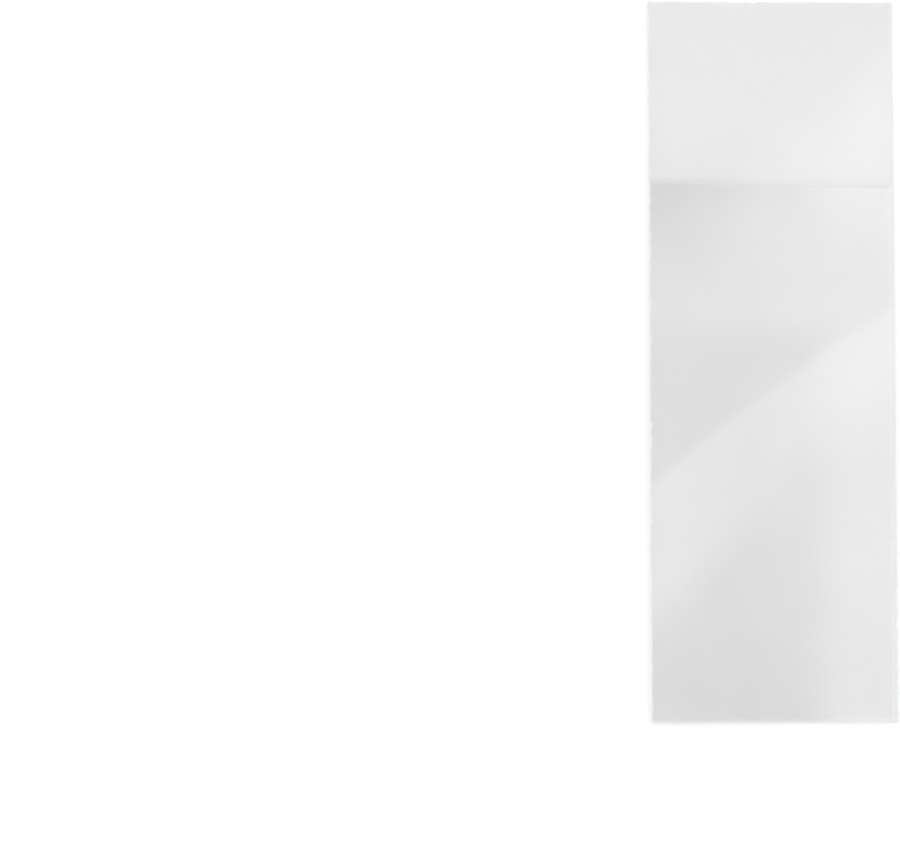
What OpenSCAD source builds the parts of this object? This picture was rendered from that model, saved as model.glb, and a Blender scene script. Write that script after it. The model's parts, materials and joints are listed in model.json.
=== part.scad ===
// A plain glass microscope slide, 76 x 26 mm, with cut edges and one end ground matt on both faces.
//
// The slide lies flat. The origin is the middle of its underside, +Z is up out of the glass,
// and +Y runs along the slide towards the ground end, where the label is written.
// It is scored on its upper face and snapped from a larger sheet, so its upper arrises carry
// the narrow chipped bevel of the score line, and its lower arrises are left sharp.

/* [Glass plate] */

// Width across the slide
slide_w = 26; // [20:0.5:52]
// Length along the slide
slide_l = 76; // [60:0.5:80]
// Thickness of the glass
slide_t = 1; // [0.8:0.05:1.6]

/* [Ground end] */

// Length of the matt band on the upper face, measured from the labelled end
ground_l = 19; // [10:0.5:30]
// How far short of it the matt band on the underside stops
ground_lag = 0.4; // [0:0.1:1]
// Depth that grinding takes off each face
ground_depth = 0.02; // [0.01:0.005:0.05]

/* [Cut edges] */

// Width of the score line's bevel, across the upper face
score_w = 0.2; // [0.05:0.01:0.4]
// Depth of the score line's bevel, down the edge
score_depth = 0.15; // [0.06:0.01:0.3]
// Flake lost at each corner, where two score lines cross
corner_nip = 0.2; // [0.1:0.05:0.5]

/* [Hidden] */

half_w = slide_w / 2;
half_l = slide_l / 2;
// How far a cutting shape stands past the face that it cuts
overcut = 1;

// Section through the plate between two snapped edges, with the score bevel on both upper arrises.
module scored_section(span) {
    half = span / 2;
    shoulder = slide_t - score_depth;
    polygon([
        [-half, 0],
        [half, 0],
        [half, shoulder],
        [half - score_w, slide_t],
        [-half + score_w, slide_t],
        [-half, shoulder]
    ]);
}

// Outline seen from above: a rectangle that has lost a small flake at each corner.
module nipped_outline() {
    polygon([
        [-half_w + corner_nip, -half_l],
        [half_w - corner_nip, -half_l],
        [half_w, -half_l + corner_nip],
        [half_w, half_l - corner_nip],
        [half_w - corner_nip, half_l],
        [-half_w + corner_nip, half_l],
        [-half_w, half_l - corner_nip],
        [-half_w, -half_l + corner_nip]
    ]);
}

// The snapped plate, before its end is ground: both pairs of edges scored, and the corners nipped.
module snapped_plate() {
    intersection() {
        rotate([90, 0, 0])
            linear_extrude(slide_l, center = true)
                scored_section(slide_w);
        rotate([90, 0, 90])
            linear_extrude(slide_w, center = true)
                scored_section(slide_l);
        linear_extrude(slide_t)
            nipped_outline();
    }
}

// What grinding removes from one face: a matt band of this length, whose floor is at z = 0.
module ground_cut(band_l) {
    translate([-half_w - overcut, half_l - band_l, 0])
        cube([slide_w + 2 * overcut, band_l + overcut, ground_depth + overcut]);
}

module slide() {
    color([0.86, 0.88, 0.88, 0.5])
        difference() {
            snapped_plate();
            translate([0, 0, slide_t - ground_depth])
                ground_cut(ground_l);
            translate([0, 0, ground_depth])
                mirror([0, 0, 1])
                    ground_cut(ground_l - ground_lag);
        }
}

slide();
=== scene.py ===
"""A glass microscope slide that lies on a white table, under an overhead scrim, seen from above.

The slide is one piece: a modelled mesh stands for the CAD node, with the same form. It adds what the
eye finds at the edges of a cut slide, the flakes along the score line and the ripples of the snapped
faces, and the ragged outline of the matt end. Everything is in metres, in the frame of the CAD.
"""

import json
import math

import bpy
import numpy as np
from mathutils import Matrix, Vector, geometry


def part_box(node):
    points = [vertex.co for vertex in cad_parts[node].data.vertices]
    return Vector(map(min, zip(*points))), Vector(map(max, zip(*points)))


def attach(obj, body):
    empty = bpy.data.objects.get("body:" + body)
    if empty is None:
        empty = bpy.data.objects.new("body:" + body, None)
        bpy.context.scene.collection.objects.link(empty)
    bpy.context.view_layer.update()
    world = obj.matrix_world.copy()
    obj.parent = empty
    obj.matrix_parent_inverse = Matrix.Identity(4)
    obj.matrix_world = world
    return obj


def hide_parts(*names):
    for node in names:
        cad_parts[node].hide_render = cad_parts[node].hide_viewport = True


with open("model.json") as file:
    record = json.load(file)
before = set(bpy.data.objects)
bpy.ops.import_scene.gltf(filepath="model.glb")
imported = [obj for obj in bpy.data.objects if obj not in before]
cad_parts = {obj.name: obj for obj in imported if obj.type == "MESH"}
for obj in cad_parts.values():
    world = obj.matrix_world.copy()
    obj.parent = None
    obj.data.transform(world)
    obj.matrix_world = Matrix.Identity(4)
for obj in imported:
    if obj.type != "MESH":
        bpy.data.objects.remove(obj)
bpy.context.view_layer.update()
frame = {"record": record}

MM = 0.001
TOP, UNDER = 1, -1
# The slide's finishes, by the number of their material slots
CLEAR, GROUND, CHIPPED, SNAPPED = range(4)

# ---- The slide's sizes, from the frame ----

_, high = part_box("slide")
HALF_W, HALF_L, THICK = high.x, high.y, high.z
label_area = next(m for m in frame["record"]["mounts"] if m["name"] == "label_area")["pos_m"]
GROUND_L = 2 * (HALF_L - label_area[1])
GROUND_DEPTH = THICK - label_area[2]
# How far short of the upper matt band the lower one stops, as in the CAD
GROUND_LAG = 0.4 * MM
# How much longer the bands are on the right side than on the left
GROUND_SLANT = 0.45 * MM
# How far the upper band takes to thin out at its rim
GROUND_FADE = 0.6 * MM
# How far the rims stray from straight, in how many half waves across the slide
RAGGED = 0.05 * MM
RAGGED_WAVES = (3, 7, 16, 37, 71)

# ---- The cut edges ----

# The edge's section is worked out at stations this far apart
STATION_STEP = 0.1 * MM
# How wide the score line is over the upper face, as in the CAD
SCORE_W = 0.2 * MM
# The share by which it wavers, and over which lengths
SCORE_WAVER = 0.12
SCORE_WAVES = (0.37 * MM, 1.9 * MM)
# One flake for each so much of the score line, how long its halves are, and how far in it reaches
FLAKE_EVERY = 0.6 * MM
FLAKE_HALF_LENGTH = (0.3 * MM, 1.2 * MM)
FLAKE_REACH = (0.14 * MM, 0.38 * MM)
# How their reaches spread between the two, as a beta distribution: most are small
FLAKE_SPREAD = (1.2, 2.0)
# A flake's depth is this much, and this share of its reach more
FLAKE_DEPTH = 0.09 * MM
FLAKE_STEEPNESS = 0.3
# The flake's hollow section, from the upper face to its foot: (share of its reach, share of its depth)
FLAKE_SECTION = [(1, 0), (0.62, 0.25), (0.28, 0.6), (0, 1)]
FLAKE_ROWS = len(FLAKE_SECTION) - 1
# Below the flakes the break is finely ridged down to the first of these depths, and less so to the second
HACKLE = 0.01 * MM
HACKLE_DEPTHS = (0.06 * MM, 0.14 * MM)
HACKLE_WAVES = (611, 787, 953, 499)
# Below that it is gently rippled, in rows: (share of the height that is left, waves round the slide)
RIPPLE = 0.012 * MM
RIPPLE_ROWS = [(0.62, (61, 97, 143)), (0.4, (70, 102, 143)), (0.2, (79, 107, 143))]
LOWER_ARRIS = 0.015 * MM
# The left side's break leans in by this much at the underside
LEAN = 0.1 * MM
# The corners, counter-clockwise from the lower right, and what each has lost along its end and its side
CORNERS = [(1, -1), (1, 1), (-1, 1), (-1, -1)]
NIPS = [(0.27 * MM, 0.2 * MM), (0.16 * MM, 0.2 * MM), (0.2 * MM, 0.14 * MM), (0.2 * MM, 0.24 * MM)]
# The large faces are filled over a grid of points this far apart
FILL_STEP = 2.0 * MM


# ---- Mesh of the slide ----

def outline_corners():
    """The outline's eight points, counter-clockwise from the lower right: each corner is cut by its nip."""
    points = []
    for (side_x, side_y), (nip_x, nip_y) in zip(CORNERS, NIPS):
        on_end = (side_x * (HALF_W - nip_x), side_y * HALF_L)
        on_side = (side_x * HALF_W, side_y * (HALF_L - nip_y))
        points += [on_end, on_side] if side_x * side_y < 0 else [on_side, on_end]
    return np.array(points)


def outline_stations():
    """Stations round the outline: where each stands, which way is inward there, and how far along it is."""
    corners = outline_corners()
    ahead = np.roll(corners, -1, axis=0) - corners
    lengths = np.linalg.norm(ahead, axis=1)
    outward = np.stack([ahead[:, 1], -ahead[:, 0]], axis=1) / lengths[:, None]
    before = np.roll(outward, 1, axis=0)
    mitres = -(outward + before) / (1 + (outward * before).sum(axis=1))[:, None]
    places, inwards, along, start = [], [], [], 0.0
    for k, length in enumerate(lengths):
        steps = max(3, round(length / STATION_STEP))
        share = np.arange(steps)[:, None] / steps
        places.append(corners[k] + share * ahead[k])
        inwards.append((1 - share) * mitres[k] + share * np.roll(mitres, -1, axis=0)[k])
        along.append(start + share[:, 0] * length)
        start += length
    return np.concatenate(places), np.concatenate(inwards), np.concatenate(along), start


def flake_widths(along, total):
    """How far the flaked score line reaches in over the upper face, at each station."""
    rng = np.random.default_rng(7)
    count = int(total / FLAKE_EVERY)
    places = rng.uniform(0, total, count)
    half_lengths = rng.uniform(*FLAKE_HALF_LENGTH, count)
    reaches = FLAKE_REACH[0] + (FLAKE_REACH[1] - FLAKE_REACH[0]) * rng.beta(*FLAKE_SPREAD, count)
    waver = np.sin(along / SCORE_WAVES[0]) * np.sin(along / SCORE_WAVES[1])
    widths = SCORE_W * (1 + SCORE_WAVER * waver)
    for place, half_length, reach in zip(places, half_lengths, reaches):
        away = np.abs(along - place)
        away = np.minimum(away, total - away) / half_length
        widths = np.maximum(widths, reach * (1 - away**2))
    # Each width is evened out a little with its neighbours
    return 0.25 * np.roll(widths, -1) + 0.5 * widths + 0.25 * np.roll(widths, 1)


def waves(along, total, counts, seed):
    """Irregular waves round the outline, from 0 to 1, that close on themselves."""
    rng = np.random.default_rng(seed)
    turns = along / total * 2 * math.pi
    height = sum(np.sin(turns * n + rng.uniform(0, 2 * math.pi)) for n in counts)
    return 0.5 + 0.5 * height / len(counts)


def edge_rows(along, total, upper, lower, lean):
    """The cut edge's section at each station, from the upper face down: (how far in, how high)."""
    width = flake_widths(along, total)
    depth = FLAKE_DEPTH + FLAKE_STEEPNESS * width
    shoulder = upper - depth
    hackle = HACKLE * waves(along, total, HACKLE_WAVES, seed=3)
    ripples = [RIPPLE * waves(along, total, counts, seed=11) for _, counts in RIPPLE_ROWS]
    flakes = [(reach * width, upper - fall * depth) for reach, fall in FLAKE_SECTION]
    ridged = [
        (hackle + 0.08 * lean, shoulder - HACKLE_DEPTHS[0]),
        (0.6 * hackle + 0.4 * ripples[0] + 0.18 * lean, shoulder - HACKLE_DEPTHS[1]),
    ]
    rippled = [
        (ripple + (1 - share) * lean, lower + share * (shoulder - lower))
        for ripple, (share, _) in zip(ripples, RIPPLE_ROWS)
    ]
    arris = [(lean, lower + LOWER_ARRIS), (lean + LOWER_ARRIS, lower)]
    return flakes + ridged + rippled + arris


def step_stations(places, band_length):
    """The last clear and the first ground station on the right side, and the same on the left side."""
    boundary = HALF_L - band_length - GROUND_FADE / 2
    on_right = np.isclose(places[:, 0], HALF_W) & (places[:, 1] < boundary - GROUND_SLANT / 2)
    on_left = np.isclose(places[:, 0], -HALF_W) & (places[:, 1] < boundary + GROUND_SLANT / 2)
    right, left = np.flatnonzero(on_right)[-1], np.flatnonzero(on_left)[0]
    return right, right + 1, left, left - 1


def grid_lines(places):
    """Lines of the filling grid, between the lowest and the highest of these places, in millimetres."""
    step = FILL_STEP / MM
    first, last = min(places), max(places)
    return np.linspace(first + step / 2, last - step / 2, round((last - first) / step))


class MeshBuilder:
    """Gathers vertices, and faces with the finish that each one has."""

    def __init__(self):
        self.points, self.faces, self.finishes = [], [], []

    def add_points(self, points):
        """Adds points and returns their numbers."""
        first = len(self.points)
        self.points += [tuple(p) for p in points]
        return list(range(first, len(self.points)))

    def add_face(self, corners, finish):
        self.faces.append(corners)
        self.finishes.append(finish)

    def fill(self, loop, side, finish):
        """Fills a flat loop with triangles over a coarse grid of points inside it."""
        rim = [Vector(self.points[i][:2]) / MM for i in loop]
        height = self.points[loop[0]][2]
        xs, ys = [p.x for p in rim], [p.y for p in rim]
        inner = [Vector((x, y)) for x in grid_lines(xs) for y in grid_lines(ys)]
        inside_only, closeness = 1, 1e-7
        points, _, triangles, sources, _, _ = geometry.delaunay_2d_cdt(
            rim + inner, [], [list(range(len(rim)))], inside_only, closeness
        )
        numbers = []
        for point, source in zip(points, sources):
            known = [i for i in source if i < len(rim)]
            numbers.append(loop[known[0]] if known else self.add_points([(*(point * MM), height)])[0])
        for triangle in triangles:
            corners = [numbers[i] for i in triangle]
            self.add_face(corners if side == TOP else corners[::-1], finish)

    def mesh(self, name):
        """The finished mesh, with each face's finish set as its material index."""
        mesh = bpy.data.meshes.new(name)
        mesh.from_pydata(self.points, [], self.faces)
        mesh.polygons.foreach_set("material_index", self.finishes)
        return mesh


def ragged_line(start, end, height, seed):
    """Points from start to end, a little ragged in between, as the rim of the ground band is."""
    rng = np.random.default_rng(seed)
    count = round(abs(end[0] - start[0]) / STATION_STEP)
    share = np.arange(1, count) / count
    lift = np.zeros(count - 1)
    for wave in RAGGED_WAVES:
        lift += np.sin(share * wave * math.pi + rng.uniform(0, 2 * math.pi)) / wave**0.4
    # It dies out towards both ends
    lift *= RAGGED / 2 * np.minimum(1, 12 * share * (1 - share))
    return [
        (start[0] + s * (end[0] - start[0]), start[1] + s * (end[1] - start[1]) + r, height)
        for s, r in zip(share, lift)
    ]


def add_face_of_glass(builder, rim, stations, side):
    """One large face of the slide: its clear part, its ground part and the small step between them."""
    clear_right, ground_right, clear_left, ground_left = stations
    count = len(rim)
    clear_rim = [rim[i % count] for i in range(clear_left, clear_right + count + 1)]
    ground_rim = rim[ground_right:ground_left + 1]
    lines = []
    for left, right in ((clear_left, clear_right), (ground_left, ground_right)):
        start, end = builder.points[rim[left]], builder.points[rim[right]]
        middle = builder.add_points(ragged_line(start, end, start[2], seed=5 + side))
        lines.append([rim[left], *middle, rim[right]])
    clear_line, ground_line = lines
    builder.fill(clear_rim[:-1] + clear_line[:0:-1], side, CLEAR)
    builder.fill(ground_rim[:-1] + ground_line[:-1], side, GROUND)
    for i in range(len(clear_line) - 1):
        corners = [clear_line[i], clear_line[i + 1], ground_line[i + 1], ground_line[i]]
        builder.add_face(corners if side == TOP else corners[::-1], GROUND)


def slide_mesh():
    """The whole slide as one closed mesh."""
    places, inwards, along, total = outline_stations()
    upper_stations = step_stations(places, GROUND_L)
    lower_stations = step_stations(places, GROUND_L - GROUND_LAG)
    count = len(places)
    is_ground = {}
    for side, (_, right, _, left) in ((TOP, upper_stations), (UNDER, lower_stations)):
        is_ground[side] = np.zeros(count)
        is_ground[side][right:left + 1] = 1
    upper = THICK - GROUND_DEPTH * is_ground[TOP]
    lower = GROUND_DEPTH * is_ground[UNDER]

    builder = MeshBuilder()
    rims = []
    lean = LEAN * np.clip(inwards[:, 0], 0, 1)
    for inset, height in edge_rows(along, total, upper, lower, lean):
        flat = places + inwards * inset[:, None]
        rims.append(builder.add_points(np.column_stack([flat, height])))
    for row in range(len(rims) - 1):
        above, below = rims[row], rims[row + 1]
        finish = CHIPPED if row < FLAKE_ROWS else SNAPPED
        for i in range(count):
            j = (i + 1) % count
            builder.add_face([above[i], below[i], below[j], above[j]], finish)
    add_face_of_glass(builder, rims[0], upper_stations, TOP)
    add_face_of_glass(builder, rims[-1], lower_stations, UNDER)
    return builder.mesh("slide_glass")


# ---- Materials ----

class Graph:
    """The node tree of a material or of the world, with short calls for the nodes that this scene uses."""

    def __init__(self, owner, output_kind="ShaderNodeOutputMaterial"):
        owner.use_nodes = True
        self.tree = owner.node_tree
        self.tree.nodes.clear()
        self.output = self.tree.nodes.new(output_kind)

    def node(self, kind, settings=None, **inputs):
        """Adds a node. Its inputs' names are joined by _, and each is a value or another node's output."""
        node = self.tree.nodes.new(kind)
        for key, value in (settings or {}).items():
            setattr(node, key, value)
        for key, value in inputs.items():
            wanted = key.replace("_", " ").lower()
            socket = next(s for s in node.inputs if s.name.lower() == wanted and s.enabled)
            self.put(socket, value)
        return node

    def put(self, socket, value):
        """Links an output to a socket, or sets the socket's value."""
        if isinstance(value, bpy.types.NodeSocket):
            self.tree.links.new(value, socket)
        else:
            socket.default_value = value

    def object_place(self):
        return self.node("ShaderNodeTexCoord").outputs["Object"]

    def axes(self, place):
        """The X, Y and Z of a place."""
        return self.node("ShaderNodeSeparateXYZ", vector=place).outputs

    def noise(self, size, detail=2.0):
        """Soft noise over the object, from 0 to 1, in lumps of about this size."""
        place = self.object_place()
        return self.node("ShaderNodeTexNoise", vector=place, scale=1 / size, detail=detail).outputs["Fac"]

    def math(self, operation, *values):
        node = self.node("ShaderNodeMath", {"operation": operation})
        for socket, value in zip(node.inputs, values):
            self.put(socket, value)
        return node.outputs[0]

    def span(self, value, low, high, to_low, to_high, smooth=False):
        """Maps value from low..high to to_low..to_high, and holds it at the ends."""
        kind = {"interpolation_type": "SMOOTHSTEP" if smooth else "LINEAR"}
        node = self.node("ShaderNodeMapRange", kind, value=value, from_min=low, from_max=high,
                         to_min=to_low, to_max=to_high)
        return node.outputs[0]

    def ramp(self, value, start, end, height=1.0):
        """Climbs smoothly from 0, where value is at start, to height, where it is at end."""
        return self.span(value, start, end, 0.0, height, smooth=True)

    def lumps(self, size, lowest, highest, cut=0.3, detail=2.0):
        """Noise from lowest to highest, levelled off where it comes within cut of 0 or 1."""
        return self.span(self.noise(size, detail), cut, 1 - cut, lowest, highest)

    def mix_colour(self, share, first, second):
        """The first colour where share is 0, and the second where it is 1."""
        node = self.node("ShaderNodeMix", {"data_type": "RGBA"})
        for socket, value in zip((node.inputs[0], node.inputs[6], node.inputs[7]), (share, first, second)):
            self.put(socket, value)
        return node.outputs[2]


INDEX_OF_GLASS = 1.52
# Tints of the snapped faces
DEEP_GREEN = (0.88, 0.955, 0.935, 1)
PALE_GREEN = (0.93, 0.98, 0.965, 1)


def grey(value):
    return (value, value, value, 1)


def glass(name, tint, clearness, roughness=None, bump=None):
    """A glass material. Clearness is how much of it is clear: the rest scatters, as powdered glass does.

    It is polished, unless it has a roughness, as (size of its lumps, lowest, highest), and a bump, as (size
    of its lumps, height).
    """
    material = bpy.data.materials.new(name)
    g = Graph(material)
    shader = g.node("ShaderNodeBsdfPrincipled", base_color=tint(g), roughness=0.0,
                    ior=INDEX_OF_GLASS, transmission_weight=clearness)
    if roughness:
        g.put(shader.inputs["Roughness"], g.lumps(*roughness))
    if bump:
        size, height = bump
        heights = g.math("MULTIPLY", g.noise(size), height)
        normal = g.node("ShaderNodeBump", height=heights, strength=1.0, distance=1.0).outputs[0]
        g.put(shader.inputs["Normal"], normal)
    g.put(g.output.inputs["Surface"], shader.outputs[0])
    return material


def painted_edge_sheen(g, place):
    """Painted sheen: whitens the glass along the right side and, a little less, along both ends, in place
    of light caught along the edges.
    """
    by_side = g.ramp(place["X"], HALF_W - 0.72 * MM, HALF_W - 0.28 * MM)
    by_end = g.ramp(g.math("ABSOLUTE", place["Y"]), HALF_L - 0.75 * MM, HALF_L - 0.1 * MM, 0.85)
    return g.math("MAXIMUM", by_side, by_end)


def clear_glass():
    """The polished faces: a grey-white float glass with the faintest smears."""
    def tint(g):
        smears = g.lumps(8.0 * MM, 0.0, 1.0, cut=0.35)
        polished = g.mix_colour(smears, grey(0.89), grey(0.902))
        # Painted sheen whitens the polished glass along the right side and the ends.
        return g.mix_colour(painted_edge_sheen(g, g.axes(g.object_place())), polished, grey(1))

    return glass("clear_glass", tint, clearness=1.0)


def ground_share(g, place):
    """0 at the rim of the matt band, rising to 1 where the glass is fully ground."""
    rim = g.math("MULTIPLY", place["X"], -GROUND_SLANT / (2 * HALF_W))
    rim = g.math("ADD", rim, HALF_L - GROUND_L - GROUND_FADE / 2)
    grain = g.lumps(0.12 * MM, -0.12 * MM, 0.12 * MM)
    inside = g.math("ADD", g.math("SUBTRACT", place["Y"], rim), grain)
    return g.ramp(inside, 0.0, GROUND_FADE)


def ground_glass():
    """The matt end: white, and whiter towards the band's inner right corner, where a painted highlight
    stands in for light reflected there.

    It thins out at its rim, which is greyer, and painted shade makes the rim greyer still to the left.
    """
    def tint(g):
        place = g.axes(g.object_place())
        towards_corner = g.math("SUBTRACT", place["X"], g.math("SUBTRACT", place["Y"], HALF_L - GROUND_L))
        # Painted highlight: the matt end is whiter towards its inner right corner.
        painted_corner_highlight = g.ramp(towards_corner, -9.0 * MM, 9.0 * MM)
        mottle = g.lumps(4.0 * MM, -0.2, 0.2, cut=0.35, detail=3.0)
        white = g.mix_colour(g.math("ADD", painted_corner_highlight, mottle), grey(0.935), grey(0.985))
        # The thinly ground rim is grey, and painted shade makes it darker towards the left.
        thin_rim_and_painted_shade = g.mix_colour(g.ramp(place["X"], -10.0 * MM, 3.0 * MM), grey(0.815), grey(0.917))
        ground = g.mix_colour(ground_share(g, place), thin_rim_and_painted_shade, white)
        # Painted sheen whitens the matt end along the right side and the ends.
        return g.mix_colour(painted_edge_sheen(g, place), ground, grey(1))

    return glass("ground_glass", tint, clearness=0.75,
                 roughness=(0.1 * MM, 0.55, 0.7), bump=(0.1 * MM, 0.006 * MM))


def chipped_glass():
    """The flakes along the score line: broken glass that catches the light, whiter where it broke deep."""
    def tint(g):
        sparkle = g.lumps(0.3 * MM, -0.2, 0.2, cut=0.35)
        deep = g.span(g.axes(g.object_place())["Z"], THICK, THICK - 0.12 * MM, 0.0, 1.0)
        return g.mix_colour(g.math("ADD", deep, sparkle), grey(0.88), grey(1))

    return glass("chipped_glass", tint, clearness=0.5,
                 roughness=(0.2 * MM, 0.35, 0.6), bump=(0.2 * MM, 0.01 * MM))


def snapped_glass():
    """The snapped faces: smooth, faintly green from the depth of glass behind them."""
    def tint(g):
        return g.mix_colour(g.lumps(1.5 * MM, 0.0, 1.0, detail=3.0), DEEP_GREEN, PALE_GREEN)

    return glass("snapped_glass", tint, clearness=0.7,
                 roughness=(0.8 * MM, 0.3, 0.5), bump=(0.4 * MM, 0.008 * MM))


def seen_by_eye_or_glass(g):
    """1 for what the camera sees, straight on, in a reflection or through glass, and 0 for other light."""
    path = g.node("ShaderNodeLightPath").outputs
    by_glass = g.math("MAXIMUM", path["Is Glossy Ray"], path["Is Transmission Ray"])
    return g.math("MAXIMUM", path["Is Camera Ray"], by_glass)


# ---- The table ----

# The table's own shade, and the glow that lifts it to white
TABLE_SHADE = 0.55
TABLE_LIFT = 0.49
TABLE_HALF = 3.0
# How far the slide's underside stands off the table, on the dust between them
TABLE_GAP = 0.03 * MM


def flat_sheet(name, half_x, half_y, material):
    """A flat rectangle about its own origin."""
    corners = [(-half_x, -half_y, 0), (half_x, -half_y, 0), (half_x, half_y, 0), (-half_x, half_y, 0)]
    mesh = bpy.data.meshes.new(name)
    mesh.from_pydata(corners, [], [(0, 1, 2, 3)])
    mesh.materials.append(material)
    sheet = bpy.data.objects.new(name, mesh)
    bpy.context.scene.collection.objects.link(sheet)
    return sheet


def table_material():
    """A white table: a pale matt surface that keeps shadows, lifted to white where it is looked at."""
    material = bpy.data.materials.new("table_white")
    g = Graph(material)
    matt = g.node("ShaderNodeBsdfDiffuse", color=grey(TABLE_SHADE))
    lift = g.math("MULTIPLY", seen_by_eye_or_glass(g), TABLE_LIFT)
    glow = g.node("ShaderNodeEmission", strength=lift)
    both = g.node("ShaderNodeAddShader")
    g.put(both.inputs[0], matt.outputs[0])
    g.put(both.inputs[1], glow.outputs[0])
    g.put(g.output.inputs["Surface"], both.outputs[0])
    return material


def make_table():
    """The table, a hair below the slide."""
    table = flat_sheet("table", TABLE_HALF, TABLE_HALF, table_material())
    table.location.z = -TABLE_GAP


# ---- The camera, and the scrim above the table ----

CAMERA_PLACE = Vector((-47.9, -25.3, 352.7)) * MM
CAMERA_AIM = Vector((-33.9, -7.2, 1.0)) * MM
CAMERA_ROLL = math.radians(-0.124)
CAMERA_LENS = 135.0
SCRIM_HEIGHT = 1.0
# In the scrim's own units, which are millimetres on the slide, where the camera sees it mirrored
SCRIM_HALF_X, SCRIM_HALF_Y = 70.0, 110.0
SCRIM_LIGHT = 1.3


def make_camera():
    """A long lens almost straight above the slide, which lies towards the right of the view."""
    camera = bpy.data.objects.new("camera", bpy.data.cameras.new("camera"))
    bpy.context.scene.collection.objects.link(camera)
    camera.data.lens = CAMERA_LENS
    back = (CAMERA_PLACE - CAMERA_AIM).normalized()
    right = Vector((-math.sin(CAMERA_ROLL), math.cos(CAMERA_ROLL), 0)).cross(back).normalized()
    turn = Matrix((right, back.cross(right), back)).transposed()
    camera.matrix_world = Matrix.Translation(CAMERA_PLACE) @ turn.to_4x4()
    bpy.context.scene.camera = camera


def slanted_band(g, x, y):
    """A bright band that falls to the left. Its upper rim is crisp, and it fades out below."""
    slope = g.math("SUBTRACT", 0.72, g.math("MULTIPLY", x, 0.005))
    rise = g.math("SUBTRACT", y, g.math("MULTIPLY", x, slope))
    fades_from = g.span(x, 6.0, -10.0, -6.0, -14.0)
    fades_to = g.span(x, 6.0, -10.0, -17.5, -21.0)
    fading = g.span(rise, fades_to, fades_from, 0.0, 1.0, smooth=True)
    strength = g.span(x, -1.0, -8.0, 0.65, 0.8)
    return g.math("MULTIPLY", g.math("MULTIPLY", g.ramp(rise, -1.8, -4.0), fading), strength)


def grey_patch(g, x, y):
    """What the scrim lacks of its light at the lower left, most of it towards the foot."""
    across = g.math("MULTIPLY", g.ramp(x, 7.8, 2.5), g.span(x, -11.0, -2.0, 0.55, 1.0))
    down = g.math("ADD", g.ramp(y, 5.5, 1.0, 0.6), g.span(y, -18.0, -32.0, 0.0, 0.3))
    return g.math("MULTIPLY", across, down)


def shade_below_matt(g, x, y):
    """A narrow shade beside the rim of the matt end, which stops short of both sides."""
    across = g.math("MULTIPLY", g.ramp(x, -13.5, -10.0), g.ramp(x, 5.0, 1.5))
    return g.math("MULTIPLY", across, g.ramp(y, 14.5, 20.5, 0.6))


def scrim_material():
    """The scrim's light, uneven as its reflection in the slide shows, in millimetres on the slide."""
    material = bpy.data.materials.new("scrim")
    g = Graph(material)
    place = g.axes(g.object_place())
    x, y = place["X"], place["Y"]
    dark_corner = g.math("MULTIPLY", g.ramp(y, 6.0, 20.0), g.ramp(x, 0.0, -14.0, 1.2))
    bright_corner = g.math("MULTIPLY", g.ramp(y, 7.0, 17.0), g.ramp(x, 4.5, 7.5, 0.35))
    dim_foot = g.ramp(y, -22.0, -40.0, 0.3)
    light = g.math("ADD", SCRIM_LIGHT, g.ramp(x, -12.0, 10.0, 0.67))
    for darker in (dark_corner, dim_foot, shade_below_matt(g, x, y), grey_patch(g, x, y)):
        light = g.math("SUBTRACT", light, darker)
    for brighter in (bright_corner, slanted_band(g, x, y)):
        light = g.math("ADD", light, brighter)
    glow = g.node("ShaderNodeEmission", strength=light)
    g.put(g.output.inputs["Surface"], glow.outputs[0])
    return material


def make_scrim():
    """The scrim, placed and scaled so that the camera sees its own units as millimetres on the slide."""
    mirrored = Vector((CAMERA_PLACE.x, CAMERA_PLACE.y, 2 * THICK - CAMERA_PLACE.z))
    growth = (SCRIM_HEIGHT - mirrored.z) / (THICK - mirrored.z)
    scrim = flat_sheet("scrim", SCRIM_HALF_X, SCRIM_HALF_Y, scrim_material())
    scrim.location = mirrored + (Vector((0, 0, THICK)) - mirrored) * growth
    scrim.scale = (growth * MM,) * 3


# ---- The room ----

# How bright the room is at its skyline, and overhead
ROOM_LOW, ROOM_HIGH = 0.95, 1.1


def make_world():
    """A white room, a little lighter overhead. What is seen at the height of the table is plain white."""
    world = bpy.data.worlds.new("white_room")
    bpy.context.scene.world = world
    g = Graph(world, "ShaderNodeOutputWorld")
    way = g.node("ShaderNodeTexCoord").outputs["Generated"]
    up = g.axes(way)["Z"]
    as_light = g.span(up, 0.0, 0.4, ROOM_LOW, ROOM_HIGH, smooth=True)
    as_seen = g.span(up, 0.1, 0.4, 1.0, ROOM_HIGH, smooth=True)
    seen = seen_by_eye_or_glass(g)
    difference = g.math("SUBTRACT", as_seen, as_light)
    strength = g.math("ADD", as_light, g.math("MULTIPLY", seen, difference))
    room = g.node("ShaderNodeBackground", color=(1, 1, 1, 1), strength=strength)
    g.put(g.output.inputs["Surface"], room.outputs[0])


# ---- Putting it together ----

slide = bpy.data.objects.new("slide_glass", slide_mesh())
bpy.context.scene.collection.objects.link(slide)
for finish in (clear_glass, ground_glass, chipped_glass, snapped_glass):
    slide.data.materials.append(finish())
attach(slide, "root")
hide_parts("slide")

make_camera()
make_table()
make_scrim()
make_world()
bpy.context.scene.view_settings.view_transform = "Standard"
